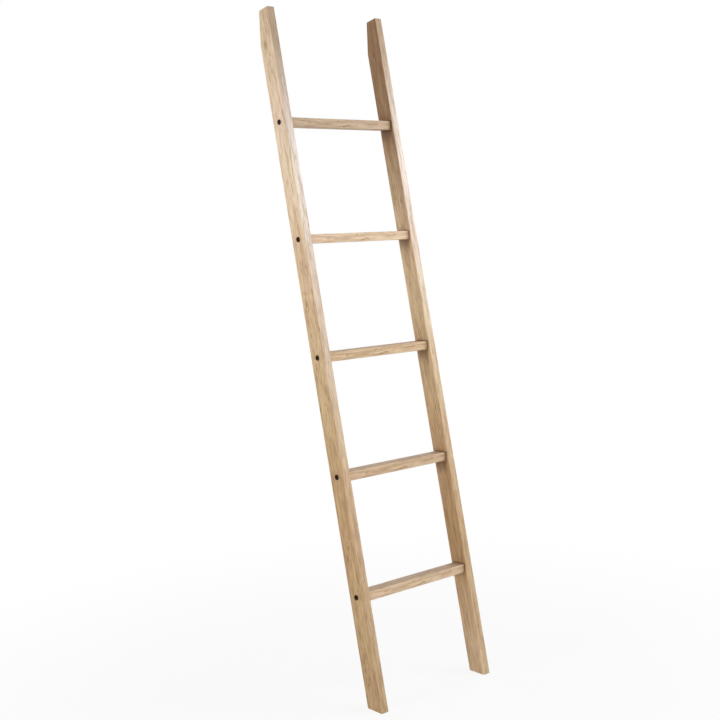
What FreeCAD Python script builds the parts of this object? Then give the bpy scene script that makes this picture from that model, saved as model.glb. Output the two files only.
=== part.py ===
import FreeCAD, Part
from enum import IntEnum
import math
import os
import Sketcher

# A blanket ladder, leaning as it does in use, in millimetres. Two rectangular stiles lean on the wall and
# carry level rungs. Each rung end stands in a shallow level housing in the stile's inner face, and a bolt
# through the stile draws it home, with its wide flat head on the stile's outer face and its thread in an
# insert in the rung's end grain.
#
# X runs across the ladder, +Y points at the wall and +Z is up. The origin is on the floor, midway between
# the stiles, and midway between their front foot edge and the wall.

SIZES = {
    # The ladder as a whole
    "lean_angle": 11.0,  # degrees, between the stiles and plumb
    "clear_width": 347.0,  # between the stiles' inner faces
    "rung_count": 5,
    "first_rung": 295.0,  # up the stile, from its front foot edge to the lowest rung's centre
    "rung_pitch": 309.0,  # up the stile, from one rung's centre to the next
    # The stiles
    "stile_length": 1830.0,  # along the front face
    "stile_depth": 54.0,  # from the front face to the back face
    "stile_thickness": 23.0,
    "stile_top": 37.5,  # what the plumb cut leaves of the square top, from front to back
    "stile_arris": 2.0,  # radius on the long edges
    "end_chamfer": 1.0,  # round the foot and the top
    # The rungs
    "rung_height": 24.0,
    "rung_depth": 35.5,
    "rung_arris": 1.5,  # radius on the long edges
    # The housing that each rung end stands in
    "housing_depth": 6.0,
    "housing_clearance": 0.8,  # all round the rung
    # The bolt
    "bolt_diameter": 6.0,
    "bolt_length": 35.0,  # under the head
    "bolt_clearance": 0.3,  # round the shank, in the stile
    "head_diameter": 14.0,
    "head_height": 2.2,
    "key_width": 4.0,  # across the flats of the hexagon socket
    "key_depth": 3.5,
    # The threaded insert
    "insert_diameter": 10.0,
    "insert_length": 20.0,
    "insert_fit": 0.05,  # round the insert, in the rung
    "thread_fit": 0.05,  # round the shank, in the insert
    "bore_room": 2.0,  # in the rung, beyond the insert and the bolt's tip
}

# What one size follows from others, written for the sheet.
FOOT_DEPTH = "(Sizes.stile_depth / cos(Sizes.lean_angle))"
FRONT_RISE = "(Sizes.stile_length * cos(Sizes.lean_angle))"
FRONT_RUN = "(Sizes.stile_length * sin(Sizes.lean_angle))"
WALL_REACH = f"({FRONT_RUN} + Sizes.stile_top * cos(Sizes.lean_angle))"
FRONT_FOOT = f"(-{WALL_REACH} / 2)"
OUTER_FACE = "(Sizes.clear_width / 2 + Sizes.stile_thickness)"
RUNG_LENGTH = "(Sizes.clear_width + 2 * Sizes.housing_depth)"
# How far into the stile, from its outer face, the rung ends, and how far the bolt reaches into the rung.
RUNG_END = "(Sizes.stile_thickness - Sizes.housing_depth)"
BOLT_REACH = f"(Sizes.bolt_length - {RUNG_END})"

TOLERANCE = 0.01


class Point(IntEnum):
    """The points of a sketch's line or circle, as sketches number them."""

    START = 1
    END = 2
    CENTRE = 3


class Axis(IntEnum):
    """A sketch's own axes, as sketches number them."""

    HORIZONTAL = -1
    VERTICAL = -2


class Side(IntEnum):
    """The side of the ladder that something is on, which is also its sign along X."""

    LEFT = -1
    RIGHT = 1


ORIGIN = (Axis.HORIZONTAL, Point.START)

doc = FreeCAD.newDocument("BlanketLadder")
sheet = doc.addObject("Spreadsheet::Sheet", "Sizes")


def fill_sheet():
    """Write each driving size and its alias on a row of the sheet."""
    for row, (alias, size) in enumerate(SIZES.items(), start=1):
        sheet.set(f"A{row}", alias)
        sheet.set(f"B{row}", str(size))
        sheet.setAlias(f"B{row}", alias)
    doc.recompute()


def value(expression):
    """The present value of an expression on the sheet's sizes."""
    result = sheet.evalExpression(expression.replace("Sizes.", ""))
    return float(getattr(result, "Value", result))


def rung_centre(index):
    """The Y and Z of a rung's centre, where index 0 is the lowest rung."""
    up_stile = f"(Sizes.first_rung + {index} * Sizes.rung_pitch)"
    into_stile = "(Sizes.stile_depth / 2)"
    y = f"{FRONT_FOOT} + {up_stile} * sin(Sizes.lean_angle) + {into_stile} * cos(Sizes.lean_angle)"
    z = f"{up_stile} * cos(Sizes.lean_angle) - {into_stile} * sin(Sizes.lean_angle)"
    return y, z


# Sketches. Each lies square to X, with its first axis along Y and its second along Z.


def new_sketch(body, name, x="0", y="0", z="0"):
    """A sketch with its origin at x, y, z."""
    sketch = body.newObject("Sketcher::SketchObject", name)
    sketch.AttachmentSupport = [(side_plane(body), "")]
    sketch.MapMode = "FlatFace"
    sketch.setExpression("AttachmentOffset.Base.x", y)
    sketch.setExpression("AttachmentOffset.Base.y", z)
    sketch.setExpression("AttachmentOffset.Base.z", x)
    return sketch


def side_plane(body):
    """The body's own plane square to X."""
    return next(item for item in body.Origin.OriginFeatures if item.Role == "YZ_Plane")


def relate(sketch, kind, *where):
    """Add a relation that has no size, such as Parallel."""
    sketch.addConstraint(Sketcher.Constraint(kind, *where))


def dimension(sketch, name, kind, where, expression):
    """Add a named dimension, bound to an expression on the sheet's sizes."""
    number = sketch.addConstraint(Sketcher.Constraint(kind, *where, value(expression)))
    sketch.renameConstraint(number, name)
    sketch.setExpression(f"Constraints.{name}", expression)


def draw_outline(sketch, corners):
    """Draw a closed outline of straight lines through the corners and return the lines' numbers."""
    points = [FreeCAD.Vector(across, up, 0) for across, up in corners]
    lines = []
    for start, end in zip(points, points[1:] + points[:1]):
        lines.append(sketch.addGeometry(Part.LineSegment(start, end), False))
    for line, following in zip(lines, lines[1:] + lines[:1]):
        relate(sketch, "Coincident", line, Point.END, following, Point.START)
    return lines


def draw_rectangle(sketch, width, height):
    """Draw a rectangle centred on the sketch's origin."""
    right = value(width) / 2
    top = value(height) / 2
    corners = [(-right, -top), (right, -top), (right, top), (-right, top)]
    bottom_line, right_line, top_line, left_line = draw_outline(sketch, corners)
    for line in (bottom_line, top_line):
        relate(sketch, "Horizontal", line)
    for line in (left_line, right_line):
        relate(sketch, "Vertical", line)
    relate(sketch, "Symmetric", bottom_line, Point.START, top_line, Point.START, *ORIGIN)
    dimension(sketch, "width", "DistanceX", (bottom_line, Point.START, bottom_line, Point.END), width)
    dimension(sketch, "height", "DistanceY", (right_line, Point.START, right_line, Point.END), height)


def draw_circle(sketch, name, diameter):
    """Draw a circle round the sketch's origin."""
    circle = Part.Circle(FreeCAD.Vector(), FreeCAD.Vector(0, 0, 1), value(diameter) / 2)
    number = sketch.addGeometry(circle, False)
    relate(sketch, "Coincident", number, Point.CENTRE, *ORIGIN)
    dimension(sketch, name, "Diameter", (number,), diameter)


def draw_hexagon(sketch, across_flats):
    """Draw a hexagon round the sketch's origin, with a corner on the sketch's vertical axis."""
    across_corners = f"2 * {across_flats} / sqrt(3)"
    reach = value(across_corners) / 2
    turns = [math.radians(60 * corner) for corner in range(6)]
    sides = draw_outline(sketch, [(-reach * math.sin(turn), reach * math.cos(turn)) for turn in turns])
    guide = Part.Circle(FreeCAD.Vector(), FreeCAD.Vector(0, 0, 1), reach)
    guide_circle = sketch.addGeometry(guide, True)
    relate(sketch, "Coincident", guide_circle, Point.CENTRE, *ORIGIN)
    for side in sides:
        relate(sketch, "PointOnObject", side, Point.START, guide_circle)
    for side in sides[1:]:
        relate(sketch, "Equal", sides[0], side)
    relate(sketch, "PointOnObject", sides[0], Point.START, Axis.VERTICAL)
    dimension(sketch, "across_corners", "Diameter", (guide_circle,), across_corners)


# Features


def new_body(name):
    """An empty body, whose label names the sub-part."""
    body = doc.addObject("PartDesign::Body", name)
    body.Label = name
    return body


def pad(body, name, sketch, length, towards):
    """Raise a sketch towards +X or -X, as the sign of towards says."""
    feature = body.newObject("PartDesign::Pad", name)
    feature.Profile = sketch
    feature.Reversed = towards < 0
    feature.setExpression("Length", length)
    doc.recompute()
    return feature


def pocket(body, name, sketch, depth, towards):
    """Cut a sketch into the body, towards +X or -X."""
    feature = body.newObject("PartDesign::Pocket", name)
    feature.Profile = sketch
    feature.Reversed = towards > 0
    feature.setExpression("Length", depth)
    doc.recompute()
    check_cut(feature)
    return feature


def check_cut(feature):
    """Stop if a cut has taken nothing away, as one does that points away from the solid."""
    if feature.Shape.Volume >= feature.BaseFeature.Shape.Volume - TOLERANCE:
        raise ValueError(f"{feature.Label} cuts nothing")


def ease_edges(body, kind, name, feature, is_wanted, size_name, size):
    """Fillet or chamfer the edges of a feature that is_wanted picks out."""
    edges = enumerate(feature.Shape.Edges, start=1)
    names = [f"Edge{number}" for number, edge in edges if is_wanted(edge)]
    eased = body.newObject(f"PartDesign::{kind}", name)
    eased.Base = (feature, names)
    eased.setExpression(size_name, size)
    doc.recompute()
    return eased


def round_edges(body, name, feature, is_wanted, radius):
    """Round the edges of a feature that is_wanted picks out."""
    return ease_edges(body, "Fillet", name, feature, is_wanted, "Radius", radius)


def chamfer_edges(body, name, feature, is_wanted, size):
    """Chamfer the edges of a feature that is_wanted picks out."""
    return ease_edges(body, "Chamfer", name, feature, is_wanted, "Size", size)


# The stiles


def make_stile(side):
    """A leaning board with a level foot, a square top and a plumb cut, housed and bored for the rungs."""
    body = new_body(f"{side.name.lower()}_stile")
    inner_face = f"{side} * Sizes.clear_width / 2"
    outer_face = f"{side} * {OUTER_FACE}"
    board = pad(body, "Board", stile_outline(body, inner_face), "Sizes.stile_thickness", side)
    end_edges = chamfer_edges(body, "EndEdges", board, is_on_stile_end, "Sizes.end_chamfer")
    round_edges(body, "LongEdges", end_edges, is_up_the_stile, "Sizes.stile_arris")

    y, z = rung_centre(0)
    rung_end = new_sketch(body, "RungEnd", inner_face, y, z)
    housing_width = "Sizes.rung_depth + 2 * Sizes.housing_clearance"
    housing_height = "Sizes.rung_height + 2 * Sizes.housing_clearance"
    draw_rectangle(rung_end, housing_width, housing_height)
    housing = pocket(body, "Housing", rung_end, "Sizes.housing_depth", side)
    bolt_centre = new_sketch(body, "BoltCentre", outer_face, y, z)
    turn_up_the_stile(bolt_centre)
    draw_circle(bolt_centre, "bolt_hole", "Sizes.bolt_diameter + 2 * Sizes.bolt_clearance")
    bolt_hole = pocket(body, "BoltHole", bolt_centre, "Sizes.stile_thickness", -side)

    stations = body.newObject("PartDesign::LinearPattern", "RungStations")
    stations.Originals = [housing, bolt_hole]
    stations.Direction = (bolt_centre, ["V_Axis"])
    stations.Mode = "Spacing"
    stations.setExpression("Offset", "Sizes.rung_pitch")
    stations.setExpression("Occurrences", "Sizes.rung_count")
    body.Tip = stations
    return body


def stile_outline(body, inner_face):
    """The stile seen from the side, in a sketch with its origin at the front foot edge."""
    sketch = new_sketch(body, "Outline", inner_face, FRONT_FOOT)
    foot_depth = value(FOOT_DEPTH)
    wall = value(WALL_REACH)
    run = value(FRONT_RUN)
    rise = value(FRONT_RISE)
    plumb_foot = (wall - foot_depth) * rise / run
    plumb_top = rise - (wall - run) * run / rise
    corners = [(0, 0), (foot_depth, 0), (wall, plumb_foot), (wall, plumb_top), (run, rise)]
    foot, back, plumb, top, front = draw_outline(sketch, corners)
    relate(sketch, "Coincident", foot, Point.START, *ORIGIN)
    relate(sketch, "Horizontal", foot)
    relate(sketch, "Parallel", back, front)
    relate(sketch, "Vertical", plumb)
    relate(sketch, "Perpendicular", top, front)
    dimension(sketch, "foot_depth", "DistanceX", (foot, Point.START, foot, Point.END), FOOT_DEPTH)
    dimension(sketch, "front_run", "DistanceX", (front, Point.END, front, Point.START), FRONT_RUN)
    dimension(sketch, "front_rise", "DistanceY", (front, Point.END, front, Point.START), FRONT_RISE)
    dimension(sketch, "top_depth", "Distance", (top,), "Sizes.stile_top")
    return sketch


def turn_up_the_stile(sketch):
    """Turn a sketch about its origin, so that its vertical axis runs up the stile."""
    offset = sketch.AttachmentOffset
    offset.Rotation = FreeCAD.Rotation(FreeCAD.Vector(0, 0, -1), value("Sizes.lean_angle"))
    sketch.AttachmentOffset = offset
    sketch.setExpression("AttachmentOffset.Rotation.Angle", "Sizes.lean_angle")


def is_up_the_stile(edge):
    """Whether an edge runs up the front, the back or the plumb cut."""
    steepest_chamfer = math.cos(math.radians(45))
    return abs(edge.tangentAt(edge.FirstParameter).z) > steepest_chamfer


def is_on_stile_end(edge):
    """Whether an edge lies in the plane of the foot or of the top."""
    up_stile = FreeCAD.Vector(0, value("sin(Sizes.lean_angle)"), value("cos(Sizes.lean_angle)"))
    front_foot = FreeCAD.Vector(0, value(FRONT_FOOT), 0)
    points = [vertex.Point for vertex in edge.Vertexes]
    on_foot = max(point.z for point in points) < TOLERANCE
    lowest = min((point - front_foot).dot(up_stile) for point in points)
    return on_foot or lowest > value("Sizes.stile_length") - TOLERANCE


# The rungs


def make_rung(index):
    """A level bar with eased edges, bored at each end for an insert."""
    body = new_body(f"rung_{index + 1}")
    end = f"{RUNG_LENGTH} / 2"
    section = new_sketch(body, "Section", end)
    draw_rectangle(section, "Sizes.rung_depth", "Sizes.rung_height")
    bar = pad(body, "Bar", section, RUNG_LENGTH, Side.LEFT)
    round_edges(body, "LongEdges", bar, is_along_the_rung, "Sizes.rung_arris")

    bore_circle = new_sketch(body, "BoreCircle", end)
    draw_circle(bore_circle, "bore", "Sizes.insert_diameter + 2 * Sizes.insert_fit")
    bore_depth = f"max(Sizes.insert_length; {BOLT_REACH}) + Sizes.bore_room"
    bore = pocket(body, "Bore", bore_circle, bore_depth, Side.LEFT)
    other_end = body.newObject("PartDesign::Mirrored", "OtherEnd")
    other_end.Originals = [bore]
    other_end.MirrorPlane = (side_plane(body), [""])
    body.Tip = other_end

    y, z = rung_centre(index)
    body.setExpression("Placement.Base.y", y)
    body.setExpression("Placement.Base.z", z)
    return body


def is_along_the_rung(edge):
    """Whether an edge runs along X."""
    return abs(edge.tangentAt(edge.FirstParameter).x) > 1 - TOLERANCE


# The fasteners. Each is drawn with X running into the stile from its outer face.


def make_bolt(side, index):
    """A bolt with a wide flat head, which has a hexagon socket."""
    body = new_body(f"{side.name.lower()}_bolt_{index + 1}")
    head_circle = new_sketch(body, "HeadCircle", "-Sizes.head_height")
    draw_circle(head_circle, "head", "Sizes.head_diameter")
    pad(body, "Head", head_circle, "Sizes.head_height", Side.RIGHT)
    shank_circle = new_sketch(body, "ShankCircle")
    draw_circle(shank_circle, "shank", "Sizes.bolt_diameter")
    pad(body, "Shank", shank_circle, "Sizes.bolt_length", Side.RIGHT)
    socket_outline = new_sketch(body, "SocketOutline", "-Sizes.head_height")
    draw_hexagon(socket_outline, "Sizes.key_width")
    pocket(body, "Socket", socket_outline, "Sizes.key_depth", Side.RIGHT)
    place_in_stile(body, side, index)
    return body


def make_insert(side, index):
    """A sleeve for the bolt's thread, flush with the rung's end."""
    body = new_body(f"{side.name.lower()}_insert_{index + 1}")
    ring = new_sketch(body, "Ring", RUNG_END)
    draw_circle(ring, "outside", "Sizes.insert_diameter")
    draw_circle(ring, "bore", "Sizes.bolt_diameter + 2 * Sizes.thread_fit")
    pad(body, "Sleeve", ring, "Sizes.insert_length", Side.RIGHT)
    place_in_stile(body, side, index)
    return body


def place_in_stile(body, side, index):
    """Set a fastener on a rung's centre line, at the outer face of the stile on that side."""
    if side == Side.RIGHT:
        body.Placement.Rotation = FreeCAD.Rotation(FreeCAD.Vector(0, 0, 1), 180)
    y, z = rung_centre(index)
    body.setExpression("Placement.Base.x", f"{side} * {OUTER_FACE}")
    body.setExpression("Placement.Base.y", y)
    body.setExpression("Placement.Base.z", z)


# The whole ladder


def make_ladder():
    """Make every sub-part, and return the bodies."""
    rungs = range(SIZES["rung_count"])
    bodies = [make_stile(side) for side in Side]
    bodies += [make_rung(index) for index in rungs]
    for make_fastener in (make_bolt, make_insert):
        bodies += [make_fastener(side, index) for side in Side for index in rungs]
    doc.recompute()
    return bodies


def check_document(bodies):
    """Stop if any object has failed, or if a sub-part isn't one valid solid."""
    for item in doc.Objects:
        if "Invalid" in item.State or "Error" in item.State:
            raise ValueError(f"{item.Label} has failed: {item.State}")
    for body in bodies:
        shape = body.Shape
        if shape.isNull() or not shape.isValid() or len(shape.Solids) != 1:
            raise ValueError(f"{body.Label} is not one valid solid")


def write_steps(bodies):
    """Write each sub-part to its own file."""
    os.makedirs("parts", exist_ok=True)
    for body in bodies:
        body.Shape.exportStep(os.path.join("parts", f"{body.Label}.step"))


fill_sheet()
ladder = make_ladder()
check_document(ladder)
write_steps(ladder)
print(f"{len(ladder)} sub-parts written")
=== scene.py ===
"""A leaning blanket ladder in pale weathered oak, with its looks built round its packed construction.

Lengths are in metres. X runs across the ladder, +Y points at the wall that it leans on and +Z is up.
"""

from __future__ import annotations

import logging
import math
from dataclasses import dataclass
from enum import Enum
from typing import Any, Callable, Optional, Union

import bmesh
import bpy
from mathutils import Euler, Matrix, Vector, noise

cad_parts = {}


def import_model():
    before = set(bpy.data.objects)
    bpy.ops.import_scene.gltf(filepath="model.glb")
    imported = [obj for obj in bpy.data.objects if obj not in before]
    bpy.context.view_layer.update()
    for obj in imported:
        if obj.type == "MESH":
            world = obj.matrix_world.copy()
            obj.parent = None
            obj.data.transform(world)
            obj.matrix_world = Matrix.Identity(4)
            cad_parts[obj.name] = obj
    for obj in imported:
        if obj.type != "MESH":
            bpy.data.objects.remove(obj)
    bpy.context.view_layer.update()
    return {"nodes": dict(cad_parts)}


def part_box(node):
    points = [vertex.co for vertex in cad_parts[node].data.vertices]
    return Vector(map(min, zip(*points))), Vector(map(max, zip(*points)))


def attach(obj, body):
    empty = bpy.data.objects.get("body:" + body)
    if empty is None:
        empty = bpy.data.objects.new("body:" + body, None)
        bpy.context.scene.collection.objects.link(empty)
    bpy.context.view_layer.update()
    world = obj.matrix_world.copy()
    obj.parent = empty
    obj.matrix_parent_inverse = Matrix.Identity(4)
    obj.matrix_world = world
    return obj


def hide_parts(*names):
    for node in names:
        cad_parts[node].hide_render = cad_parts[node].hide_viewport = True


LOG = logging.getLogger("blanket_ladder")

BODY = "root"
WORN = "worn"  # the attribute that marks edges rubbed by hands
SMOOTH_UP_TO = math.radians(40.0)  # edges that turn more than this stay sharp
SAME_PLANE = 1e-7
SAME_POINT = 1e-6
SAME_FACE = 1e-5
ROUND = 40  # the sides of a bored hole
HEXAGON = 6

Span = tuple[float, float]
Colour = tuple[float, float, float, float]

WHITE: Colour = (1.0, 1.0, 1.0, 1.0)


class Side(Enum):
    """The side of the ladder that a piece is on, with its sign along X."""

    LEFT = -1
    RIGHT = 1

    @property
    def word(self) -> str:
        """The side's name, as the nodes' names have it."""
        return self.name.lower()


@dataclass(frozen=True)
class Plan:
    """The ladder's driving sizes, as its construction has them."""

    lean: float = math.radians(11.0)
    clear_width: float = 0.347
    stile_length: float = 1.830
    stile_depth: float = 0.054
    stile_top: float = 0.0375
    stile_arris: float = 0.002
    end_arris: float = 0.001
    rung_count: int = 5
    first_rung: float = 0.295
    rung_pitch: float = 0.309
    rung_depth: float = 0.0355
    rung_height: float = 0.024
    rung_arris: float = 0.0015
    housing_depth: float = 0.006
    housing_clearance: float = 0.0008
    bolt_hole: float = 0.0066
    insert_bore: float = 0.0101
    insert_bore_depth: float = 0.022

    @property
    def rung_numbers(self) -> range:
        """The rungs' numbers, from the lowest up."""
        return range(1, self.rung_count + 1)

    @property
    def wall_reach(self) -> float:
        """How far the wall stands from the front foot edge."""
        return self.stile_length * math.sin(self.lean) + self.stile_top * math.cos(self.lean)

    @property
    def plumb_foot(self) -> float:
        """How far up the stile its plumb cut starts."""
        return (self.wall_reach - self.stile_depth * math.cos(self.lean)) / math.sin(self.lean)

    @property
    def foot_slope(self) -> float:
        """How steeply the level foot is cut on the stile's own axes."""
        return math.tan(self.lean)

    @property
    def front_foot(self) -> Vector:
        """The front foot edge's place in the frame."""
        return Vector((0.0, -self.wall_reach / 2, 0.0))

    @property
    def stile_to_frame(self) -> Matrix:
        """From a stile's own axes, with Y from front to back and Z up the stile, to the frame."""
        return Matrix.Translation(self.front_foot) @ Matrix.Rotation(-self.lean, 4, "X")


# Shader maths


Number = Union["Wire", float]


@dataclass(frozen=True)
class Wire:
    """A number that varies over a surface: one output of a node, with arithmetic that adds Math nodes."""

    nodes: "Nodes"
    socket: bpy.types.NodeSocket

    def maths(self, operation: str, *values: Number) -> "Wire":
        """Add a Math node.

        Args:
            operation: The node's operation.
            values: What feeds its inputs, in order.

        Returns:
            The node's result.
        """
        sockets = dict(enumerate(values))
        return self.nodes.add("ShaderNodeMath", {"operation": operation}, sockets).wire()

    def __add__(self, other: Number) -> "Wire":
        """The sum."""
        return self.maths("ADD", self, other)

    def __radd__(self, other: Number) -> "Wire":
        """The sum, with the number first."""
        return self.maths("ADD", other, self)

    def __sub__(self, other: Number) -> "Wire":
        """The difference."""
        return self.maths("SUBTRACT", self, other)

    def __rsub__(self, other: Number) -> "Wire":
        """The difference, with the number first."""
        return self.maths("SUBTRACT", other, self)

    def __mul__(self, other: Number) -> "Wire":
        """The product."""
        return self.maths("MULTIPLY", self, other)

    def __rmul__(self, other: Number) -> "Wire":
        """The product, with the number first."""
        return self.maths("MULTIPLY", other, self)

    def __truediv__(self, other: Number) -> "Wire":
        """The quotient."""
        return self.maths("DIVIDE", self, other)

    def __pow__(self, other: Number) -> "Wire":
        """The power."""
        return self.maths("POWER", self, other)

    def root(self) -> "Wire":
        """The square root."""
        return self.maths("SQRT", self)

    def fraction(self) -> "Wire":
        """What is left after the whole number."""
        return self.maths("FRACT", self)

    def magnitude(self) -> "Wire":
        """The value without its sign."""
        return self.maths("ABSOLUTE", self)

    def at_least(self, other: Number) -> "Wire":
        """The greater of the two."""
        return self.maths("MAXIMUM", self, other)

    def rise(self, low: float, high: float) -> "Wire":
        """A smooth step.

        Args:
            low: The value at which the step is 0.
            high: The value at which it is 1, which may be the lower of the two.

        Returns:
            The step, from 0 to 1.
        """
        settings = {"interpolation_type": "SMOOTHSTEP"}
        if low < high:
            return self.nodes.add("ShaderNodeMapRange", settings, {0: self, 1: low, 2: high}).wire()
        return 1.0 - self.nodes.add("ShaderNodeMapRange", settings, {0: self, 1: high, 2: low}).wire()


@dataclass(frozen=True)
class Placed:
    """A node that has been added, with its outputs at hand."""

    nodes: "Nodes"
    node: bpy.types.Node

    def wire(self, output: Union[int, str] = 0) -> Wire:
        """One of the node's outputs, as a number to work with."""
        return Wire(self.nodes, self.node.outputs[output])

    def out(self, output: Union[int, str] = 0) -> bpy.types.NodeSocket:
        """One of the node's outputs, to link as a colour, vector or shader."""
        return self.node.outputs[output]


class Nodes:
    """The node tree of one material or world."""

    def __init__(self, tree: bpy.types.NodeTree) -> None:
        """Start from an empty tree."""
        self.tree = tree
        tree.nodes.clear()

    def add(
        self,
        kind: str,
        settings: Optional[dict[str, Any]] = None,
        sockets: Optional[dict[Union[int, str], Any]] = None,
    ) -> Placed:
        """Add a node.

        Args:
            kind: The node's type.
            settings: Its properties, set first. The stops of a ramp are a list of position and colour.
            sockets: A value or a link for each of its inputs that needs one, by name or number.

        Returns:
            The node.
        """
        node = self.tree.nodes.new(kind)
        for name, setting in (settings or {}).items():
            if name == "stops":
                self.set_stops(node.color_ramp, setting)
            else:
                setattr(node, name, setting)
        for name, value in (sockets or {}).items():
            if isinstance(value, Wire):
                self.tree.links.new(value.socket, node.inputs[name])
            elif isinstance(value, bpy.types.NodeSocket):
                self.tree.links.new(value, node.inputs[name])
            else:
                node.inputs[name].default_value = value
        return Placed(self, node)

    @staticmethod
    def set_stops(ramp: bpy.types.ColorRamp, stops: list[tuple[float, Colour]]) -> None:
        """Give a colour ramp its stops.

        Args:
            ramp: The ramp, as new.
            stops: Each stop's position and colour, in order.
        """
        while len(ramp.elements) < len(stops):
            ramp.elements.new(1.0)
        for element, (position, colour) in zip(ramp.elements, stops):
            element.position = position
            element.color = colour

    def mix(self, factor: Number, low: Any, high: Any, blend: str = "MIX") -> bpy.types.NodeSocket:
        """Mix two colours.

        Args:
            factor: How much of the second there is.
            low: The first colour, or a link.
            high: The second colour, or a link.
            blend: The way that they mix.

        Returns:
            The mixed colour.
        """
        settings = {"data_type": "RGBA", "blend_type": blend}
        return self.add("ShaderNodeMix", settings, {0: factor, 6: low, 7: high}).out(2)

    def tint(self, colour: Any, shade: Colour, amount: Number = 1.0) -> bpy.types.NodeSocket:
        """Multiply a colour by a shade, as far as an amount says."""
        return self.mix(amount, colour, shade, "MULTIPLY")

    def vector(self, x: Number, y: Number, z: Number) -> bpy.types.NodeSocket:
        """A vector from three numbers."""
        return self.add("ShaderNodeCombineXYZ", {}, {0: x, 1: y, 2: z}).out()

    def place(self) -> bpy.types.NodeSocket:
        """The place on the surface, in the frame."""
        return self.add("ShaderNodeTexCoord").out("Object")

    def facing(self, way: Vector) -> Wire:
        """How squarely the surface faces a way, from -1 to 1."""
        dots = {0: self.add("ShaderNodeTexCoord").out("Normal"), 1: way}
        return self.add("ShaderNodeVectorMath", {"operation": "DOT_PRODUCT"}, dots).wire("Value")

    def worn(self) -> Wire:
        """1 on the edges that are rubbed by hands, and 0 elsewhere."""
        return self.add("ShaderNodeAttribute", {"attribute_name": WORN}).wire("Fac")

    def bump(self, height: Wire, strength: float, distance: float) -> bpy.types.NodeSocket:
        """The surface's normal, with a height that varies over it."""
        sockets = {"Strength": strength, "Distance": distance, "Height": height}
        return self.add("ShaderNodeBump", {}, sockets).out()

    def finish(self, sockets: dict[Union[int, str], Any]) -> None:
        """End a material with a Principled shader that has these sockets."""
        surface = self.add("ShaderNodeBsdfPrincipled", {}, sockets).out()
        self.add("ShaderNodeOutputMaterial", {}, {"Surface": surface})

    def background_rays(self) -> Wire:
        """Tell which rays see the background.

        Returns:
            1 for the camera's own rays and those off metal or through glass, and 0 for the others.
        """
        rays = self.add("ShaderNodeLightPath")
        seen = rays.wire("Is Camera Ray").at_least(rays.wire("Is Glossy Ray"))
        return seen.at_least(rays.wire("Is Transmission Ray"))


@dataclass(frozen=True)
class Speckle:
    """Noise of one fineness, which may be drawn out along Z."""

    per_metre: float
    octaves: float = 2.0
    roughness: float = 0.5
    drawn_out: float = 1.0

    def at(self, nodes: Nodes, vector: Any) -> Wire:
        """Add the noise.

        Args:
            nodes: The material's nodes.
            vector: The place at which it is read.

        Returns:
            The noise there, from 0 to 1.
        """
        if self.drawn_out != 1.0:
            scale = {0: vector, 1: (1.0, 1.0, self.drawn_out)}
            vector = nodes.add("ShaderNodeVectorMath", {"operation": "MULTIPLY"}, scale).out()
        sockets = {
            "Vector": vector,
            "Scale": self.per_metre,
            "Detail": self.octaves,
            "Roughness": self.roughness,
        }
        return nodes.add("ShaderNodeTexNoise", {}, sockets).wire()


def srgb(red: int, green: int, blue: int) -> Colour:
    """Turn a colour into linear light.

    Args:
        red: The red level that a screen shows, up to 255.
        green: The green level.
        blue: The blue level.

    Returns:
        The colour, opaque.
    """
    linear = [
        level / 12.92 if level <= 0.04045 else ((level + 0.055) / 1.055) ** 2.4
        for level in (red / 255, green / 255, blue / 255)
    ]
    return (linear[0], linear[1], linear[2], 1.0)


def new_material(name: str) -> tuple[bpy.types.Material, Nodes]:
    """Start a material.

    Args:
        name: Its name.

    Returns:
        The material and its empty node tree.
    """
    material = bpy.data.materials.new(name)
    material.use_nodes = True
    return material, Nodes(material.node_tree)


# Finishes


@dataclass(frozen=True)
class Spot:
    """The place on a board that is being shaded, on the board's own axes."""

    nodes: Nodes
    vector: bpy.types.NodeSocket
    across: Wire
    deep: Wire
    along: Wire

    @staticmethod
    def on_board(nodes: Nodes, origin: Vector, turn: Euler) -> "Spot":
        """Find the place.

        Args:
            nodes: The material's nodes.
            origin: The board's origin in the frame.
            turn: The board's turn in the frame.

        Returns:
            The place.
        """
        axes = {"Vector": nodes.place(), "Location": origin, "Rotation": turn}
        vector = nodes.add("ShaderNodeMapping", {"vector_type": "TEXTURE"}, axes).out()
        parts = nodes.add("ShaderNodeSeparateXYZ", {}, {0: vector})
        across, deep, along = (parts.wire(axis) for axis in range(3))
        return Spot(nodes, vector, across, deep, along)


@dataclass(frozen=True)
class Knot:
    """A knot at a place on its board's own axes, with how far its heart and its swirl reach, in radii."""

    across: float
    deep: float
    along: float
    radius: float
    darkness: float
    slenderness: float = 1.7
    heart: Span = (1.15, 0.35)
    swirl: Span = (4.5, 0.2)

    def radii_away(self, spot: Spot) -> Wire:
        """Measure from the knot's middle.

        Args:
            spot: The place on the board.

        Returns:
            How far away the place is, in the knot's own radii.
        """
        return (
            ((spot.across - self.across) / self.radius) ** 2
            + ((spot.deep - self.deep) / self.radius) ** 2
            + ((spot.along - self.along) / (self.radius * self.slenderness)) ** 2
        ).root()


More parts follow.
